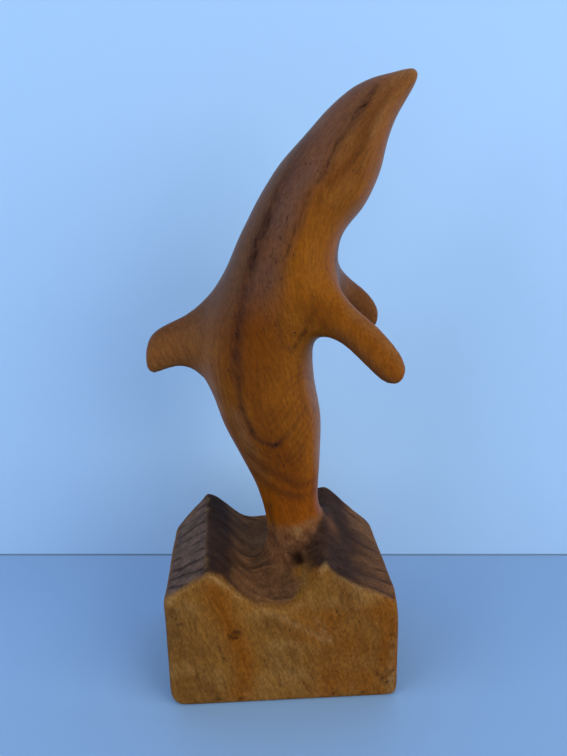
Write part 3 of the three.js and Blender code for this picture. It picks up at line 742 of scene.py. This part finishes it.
colours = {  # linear
    "gold": (0.170, 0.055, 0.003, 1),
    "brown": (0.112, 0.030, 0.0015, 1),
    "red": (0.165, 0.050, 0.004, 1),
    # painted sheen
    "sheenBrown": (0.155, 0.070, 0.026, 1),
    "tail": (0.160, 0.040, 0.0008, 1),
    "head": (0.112, 0.048, 0.018, 1),
    "heart": (0.088, 0.042, 0.029, 1),
    "leftShade": (0.072, 0.035, 0.016, 1),
    # painted highlight near the beak
    "highlightBrown": (0.205, 0.100, 0.036, 1),
    "line": (0.028, 0.010, 0.006, 1),
    # dark soft bands of the grain, also the painted shade in the crease
    "bandAndCreaseShade": (0.070, 0.020, 0.003, 1),
    # painted sheen on the belly's edge
    "pinkSheen": (0.200, 0.115, 0.085, 1),
    "collar": (0.125, 0.054, 0.022, 1),
    # dark brown of the foot, also used for painted shade on the fins
    "footDarkAndShade": (0.070, 0.028, 0.012, 1),
    "raw": (0.158, 0.072, 0.013, 1),
    "rawDark": (0.100, 0.042, 0.009, 1),
    "orange": (0.138, 0.044, 0.003, 1),
    "pale": (0.200, 0.112, 0.036, 1),
    "amber": (0.21, 0.085, 0.008, 1),
    # left slope: its wood's colour with a painted reflection of the pale wall
    "greySheen": (0.074, 0.046, 0.035, 1),
    "slope": (0.030, 0.015, 0.010, 1),
    "scoop": (0.110, 0.050, 0.020, 1),
    # dark streaks of the slopes, also used for painted shade
    "bandAndShade": (0.018, 0.009, 0.006, 1),
    "worn": (0.220, 0.130, 0.052, 1),
    "hole": (0.010, 0.003, 0.002, 1),
}

wood = bpy.data.materials.new("carved_wood_figure")
wood.use_nodes = True
tree = wood.node_tree
shader = tree.nodes["Principled BSDF"]
w = Wires(tree)
where = tree.nodes.new("ShaderNodeTexCoord").outputs["Object"]
placeZ = w.split(where)[2]

rings = tree.nodes.new("ShaderNodeGroup")
rings.node_tree = ringGroup
tree.links.new(where, rings.inputs["Vector"])
rings.inputs["Ring Width"].default_value = carved["ringWidth"] / 1000
rings.inputs["Waver"].default_value = carved["ringWaver"] / 1000
late = rings.outputs["Late Wood"]
grain = rings.outputs["Grain"]

# dark lines of the body: soft bands with broken dashes along their middles
dashes = w.range(w.noise(w.stretch(grain, (1, 1, 0.3)), 700.0, 1.0, 0.5), 0.5, 0.6)
breaks = w.noise(w.stretch(grain, (1, 1, 0.5)), 75.0, 2.0, 0.6)
fine = w.noise(w.stretch(grain, (1, 1, 0.4)), 400.0, 3.0, 0.6)


def ringBand(radiusAt, reach):
    away = w.math("ABSOLUTE", w.math("SUBTRACT", rings.outputs["Radius"], radiusAt / 1000))
    return w.range(away, 0.0, reach, 1.0, 0.0)


vein = w.mask("vein")
dots = w.mask("heartDots")
backRing = w.times(ringBand(carved["veinRadius"], 0.0019), w.mask("backRings"))
softLines = w.math("MAXIMUM", vein, w.times(backRing, 0.8))
softLines = w.times(softLines, w.range(breaks, 0.3, 0.6, 0.72, 1.0), 0.88)
softLines = w.math("MAXIMUM", softLines, w.times(dots, w.range(breaks, 0.3, 0.6, 0.5, 1.0), 0.55))
softLines = w.math("MAXIMUM", softLines, w.times(w.mask("smallU"), 0.3))
softLines = w.times(softLines, w.range(fine, 0.3, 0.6, 0.7, 1.0), 1.1)
dashLines = w.math("MAXIMUM", w.range(vein, 0.62, 0.9), w.times(backRing, 0.7))
dashLines = w.math("MAXIMUM", dashLines, w.range(dots, 0.3, 0.8))
dashLines = w.math("MAXIMUM", dashLines, w.times(w.mask("smallU"), 0.5))
dashLines = w.times(dashLines, dashes, w.range(breaks, 0.4, 0.58))

polishMask = w.mask("polish")
pores = tree.nodes.new("ShaderNodeGroup")
pores.node_tree = poreGroup
tree.links.new(grain, pores.inputs["Grain"])
moreNearLines = w.math("MULTIPLY_ADD", softLines, 0.8, w.times(late, 0.35))
w.put(pores.inputs["Amount"], w.math("MULTIPLY_ADD", w.mask("heart"), 0.15, moreNearLines))

patchy = w.noise(w.stretch(grain, (1, 1, 0.25)), 32.0, 3.0, 0.6)
mottle = w.noise(w.stretch(grain, (1, 1, 0.5)), 150.0, 3.0, 0.6)
lowPatchy = w.math("SUBTRACT", patchy, 0.25)


# laid puts a named colour over another by a share, and laidInTurn does so for a list of masks
def laid(base, share, name):
    return w.mix(share, base, colours[name])


def laidInTurn(base, layers):
    for maskName, strength, name in layers:
        base = laid(base, w.times(w.mask(maskName), strength), name)
    return base


def toned(base, tone):
    return w.mix(1.0, base, w.join(tone, tone, tone), "MULTIPLY")


# the polished body
bodyGold = w.math("MULTIPLY_ADD", mottle, 0.3, lowPatchy)
bodyGold = w.math("MULTIPLY_ADD", w.mask("belly"), 0.45, bodyGold)
bodyColour = w.mix(w.range(bodyGold, 0.24, 0.66), colours["brown"], colours["gold"])
bodyColour = laidInTurn(bodyColour, [
    ("goldPatch", 0.7, "gold"),
    ("redTone", 0.7, "red"),
    ("paleSheen", 0.65, "sheenBrown"),
])
bodyColour = laid(bodyColour, w.range(placeZ, 0.125, 0.095, 0.0, 0.85), "tail")
awayFromBelly = w.range(w.mask("belly"), 0.35, 0.85, 1.0, 0.25)
bodyColour = laid(bodyColour, w.times(w.range(placeZ, 0.225, 0.28, 0.0, 0.8), awayFromBelly), "head")
bodyColour = laid(bodyColour, w.times(late, 0.2), "brown")
# layers on the body: the belly edge's sheen and the beak's highlight are painted light, the crease's band
# and the dark tone on the fins painted shade
bodyColour = laidInTurn(bodyColour, [
    ("leftShade", 0.75, "leftShade"),
    ("softBands", 0.72, "bandAndCreaseShade"),
    ("bellyEdgeSheen", 0.45, "pinkSheen"),
    ("heart", 1.0, "heart"),
    ("shadeAndHeartTone", 0.7, "footDarkAndShade"),
    ("beakHighlight", 0.5, "highlightBrown"),
    ("arcs", 0.4, "bandAndCreaseShade"),
    ("creaseShade", 0.6, "bandAndCreaseShade"),
])
bodyColour = laid(bodyColour, softLines, "line")
bodyColour = laid(bodyColour, w.times(dashLines, 0.85), "hole")

# the bare front and sides of the block
rawShare = w.math("MULTIPLY_ADD", mottle, 0.5, lowPatchy)
rawColour = w.mix(w.range(rawShare, 0.25, 0.65), colours["rawDark"], colours["raw"])
orangeShare = w.times(w.mask("orange"), w.range(mottle, 0.3, 0.6, 0.8, 1.0))
rawColour = laid(rawColour, orangeShare, "orange")
rawColour = laid(rawColour, w.times(w.mask("pale"), w.range(mottle, 0.35, 0.6), 0.6), "pale")
rawColour = laid(rawColour, w.times(late, 0.12), "rawDark")

# the slopes are darker, with thin broken streaks where they cut the rings
bandAt = w.math("MULTIPLY_ADD", w.math("SUBTRACT", patchy, 0.5), 0.012, rings.outputs["Radius"])


def streaksOf(width, start, full, fall, end):
    share = w.math("FRACT", w.math("DIVIDE", bandAt, width / 1000))
    return w.times(w.range(share, start, full), w.range(share, fall, end, 1.0, 0.0))


onLeft = w.mask("leftSlope")
streaks = streaksOf(carved["bandWidth"], 0.45, 0.8, 0.82, 0.98)
thinStreaks = w.times(streaksOf(carved["thinBandWidth"], 0.4, 0.8, 0.8, 1.0), 0.45)
streaks = w.times(w.math("MAXIMUM", streaks, thinStreaks), w.range(breaks, 0.42, 0.58))
streaks = w.times(streaks, w.range(mottle, 0.3, 0.6, 0.5, 1.0))
sideStreaks = streaksOf(carved["sideBandWidth"], 0.35, 0.62, 0.62, 0.85)
streaks = w.mix(onLeft, streaks, w.times(sideStreaks, w.range(breaks, 0.38, 0.55)))
# the left slope is painted grey: its wood's colour with a painted reflection of the pale wall
slopeColour = w.mix(onLeft, colours["slope"], colours["greySheen"])
slopeColour = laidInTurn(slopeColour, [("trough", 0.85, "scoop"), ("innerDark", 0.5, "bandAndShade")])
slopeColour = laid(slopeColour, w.times(streaks, w.range(onLeft, 0.0, 1.0, 0.75, 0.95)), "bandAndShade")
slopeColour = toned(slopeColour, w.range(mottle, 0.3, 0.7, 0.72, 1.35))

footColour = w.mix(w.range(mottle, 0.35, 0.65), colours["footDarkAndShade"], colours["collar"])
rawColour = w.mix(w.mask("foot"), rawColour, footColour)
rawColour = w.mix(w.mask("slopes"), rawColour, slopeColour)
rawColour = laidInTurn(rawColour, [
    ("underKnot", 0.75, "amber"),
    ("hollowsAndDirt", 0.45, "bandAndShade"),
    ("wear", 0.7, "worn"),
])
rawColour = laid(rawColour, w.times(w.mask("seams"), w.range(fine, 0.35, 0.6, 0.4, 1.0), 0.8), "worn")

# both together, with the paler collar where the polish ends, the knots and the fibres
collar = w.times(w.range(polishMask, 0.0, 0.45), w.range(polishMask, 0.45, 1.0, 1.0, 0.0))
colour = w.mix(polishMask, rawColour, bodyColour)
colour = laid(colour, w.times(collar, 0.7), "collar")
colour = laid(colour, w.times(w.mask("palePatch"), w.range(mottle, 0.3, 0.6), 0.6), "worn")
# painted shade round the knot, along the tail's slit and on the slopes, then the near black of knots and
# pits
colour = laidInTurn(colour, [("shade", 0.8, "bandAndShade"), ("holes", 0.95, "hole")])
specks = w.noise(w.stretch(where, (1, 1, 0.6)), 800.0, 5.0, 0.75)
speckTone = w.math("SUBTRACT", w.range(specks, 0.3, 0.7, 0.74, 1.26), 1.0)
speckTone = w.math("MULTIPLY_ADD", speckTone, w.range(polishMask, 0.0, 1.0, 1.0, 0.55), 1.0)
fibreTone = w.range(pores.outputs["Fibres"], 0.32, 0.68, 0.82, 1.18)
colour = toned(colour, w.math("MULTIPLY", fibreTone, speckTone))
poreShare = w.times(pores.outputs["Pores"], w.range(polishMask, 0.0, 1.0, 0.6, 0.75))
colour = laid(colour, poreShare, "line")
tree.links.new(colour, shader.inputs["Base Color"])

rough = w.range(polishMask, 0.0, 1.0, 0.8, 0.42)
rough = w.math("MULTIPLY_ADD", pores.outputs["Pores"], 0.15, rough)
tree.links.new(rough, shader.inputs["Roughness"])
shader.inputs["Specular IOR Level"].default_value = 0.12

height = w.math("MULTIPLY_ADD", pores.outputs["Pores"], -1.0, w.times(pores.outputs["Fibres"], 0.35))
bump = tree.nodes.new("ShaderNodeBump")
bump.inputs["Distance"].default_value = 0.00025
bump.inputs["Strength"].default_value = 0.5
tree.links.new(height, bump.inputs["Height"])
tree.links.new(bump.outputs["Normal"], shader.inputs["Normal"])

carving.data.materials.append(wood)
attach(carving, "root")
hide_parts("dolphin_carving")
print("wood made")
